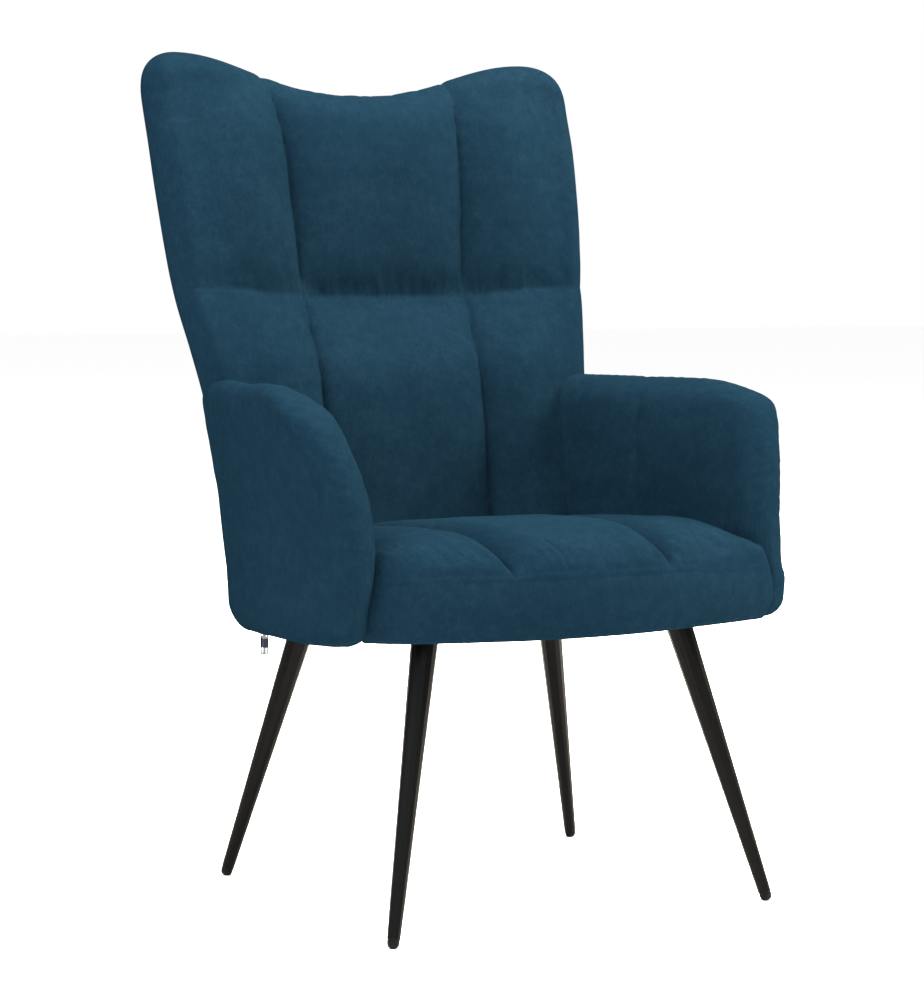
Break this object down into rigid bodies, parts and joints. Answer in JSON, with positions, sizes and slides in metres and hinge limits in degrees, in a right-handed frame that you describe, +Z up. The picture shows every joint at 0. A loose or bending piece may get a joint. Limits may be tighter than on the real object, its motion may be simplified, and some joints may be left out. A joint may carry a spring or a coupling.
{
  "type": "upholstered armchair",
  "caption": "High-backed upholstered tub armchair with a winged quilted back, rounded arms, channelled seat and splayed tapered legs.",
  "frame": {"origin": "on the floor, at the middle of the chair's overall width and depth", "axes": "+X to the sitter's left, +Y towards the back, +Z up; the sitter faces -Y"},
  "size_m": [0.621, 0.6006, 0.9633],
  "materials": {
    "velvet": "short-pile deep petrol-blue velvet with a soft sheen",
    "foam": "open-cell upholstery foam",
    "wood": "raw plywood and sawn softwood",
    "board": "thin hardboard",
    "black_steel": "satin black powder coat on steel tube",
    "black_plastic": "moulded black plastic",
    "zinc_steel": "zinc-plated fasteners and spring wire",
    "webbing": "woven elastic webbing",
    "lining": "black non-woven dust cloth",
    "nickel": "nickel-plated zip slider and pull",
    "zip_tape": "woven zip tape with a nylon coil"
  },
  "bodies": {
    "chair": {"arm_cover_right": "velvet", "arm_foam_right": "foam", "arm_front_post_right": "wood", "arm_rear_post_right": "wood", "arm_top_rail_right": "wood", "arm_side_board_right": "board", "arm_bolt_right": "zinc_steel", "arm_cover_left": "velvet", "arm_foam_left": "foam", "arm_front_post_left": "wood", "arm_rear_post_left": "wood", "arm_top_rail_left": "wood", "arm_side_board_left": "board", "arm_bolt_left": "zinc_steel", "back_inner_cover": "velvet", "back_outer_cover": "velvet", "back_foam": "foam", "back_post_right": "wood", "back_post_left": "wood", "back_top_rail": "wood", "back_middle_rail": "wood", "back_webbing_lower": "webbing", "back_webbing_middle": "webbing", "back_webbing_upper": "webbing", "seat_cover": "velvet", "seat_foam": "foam", "seat_front_rail": "wood", "seat_rear_rail": "wood", "seat_side_rail_right": "wood", "seat_side_rail_left": "wood", "leg_front_right": "black_steel", "foot_tip_front_right": "black_plastic", "leg_stud_front_right": "zinc_steel", "tee_nut_front_right": "zinc_steel", "corner_block_front_right": "wood", "leg_rear_right": "black_steel", "foot_tip_rear_right": "black_plastic", "leg_stud_rear_right": "zinc_steel", "tee_nut_rear_right": "zinc_steel", "corner_block_rear_right": "wood", "leg_front_left": "black_steel", "foot_tip_front_left": "black_plastic", "leg_stud_front_left": "zinc_steel", "tee_nut_front_left": "zinc_steel", "corner_block_front_left": "wood", "leg_rear_left": "black_steel", "foot_tip_rear_left": "black_plastic", "leg_stud_rear_left": "zinc_steel", "tee_nut_rear_left": "zinc_steel", "corner_block_rear_left": "wood", "base_lining": "lining", "seat_spring_left": "zinc_steel", "seat_spring_middle": "zinc_steel", "seat_spring_right": "zinc_steel", "zip_tape_inner": "zip_tape", "zip_tape_outer": "zip_tape"},
    "slider_front": {"zip_slider_front": "nickel"},
    "slider_rear": {"zip_slider_rear": "nickel"},
    "pull_front": {"zip_pull_front": "nickel"},
    "pull_rear": {"zip_pull_rear": "nickel"}
  },
  "joints": [
    {"name": "zip_front_slide", "type": "slide", "parent": "chair", "child": "slider_front", "axis": [0.1451, 0.9884, -0.0445], "range_m": [-0.068, 0]},
    {"name": "zip_rear_slide", "type": "slide", "parent": "chair", "child": "slider_rear", "axis": [0.1451, 0.9884, -0.0445], "range_m": [0, 0.016]},
    {"name": "pull_front_swing", "type": "hinge", "parent": "slider_front", "child": "pull_front", "pos_m": [-0.2419, 0.02485, 0.29986], "axis": [0.9894, -0.145, 0.0065], "range_deg": [-80, 8]},
    {"name": "pull_rear_swing", "type": "hinge", "parent": "slider_rear", "child": "pull_rear", "pos_m": [-0.24044, 0.03474, 0.29941], "axis": [0.9894, -0.145, 0.0065], "range_deg": [-8, 80]}
  ]
}
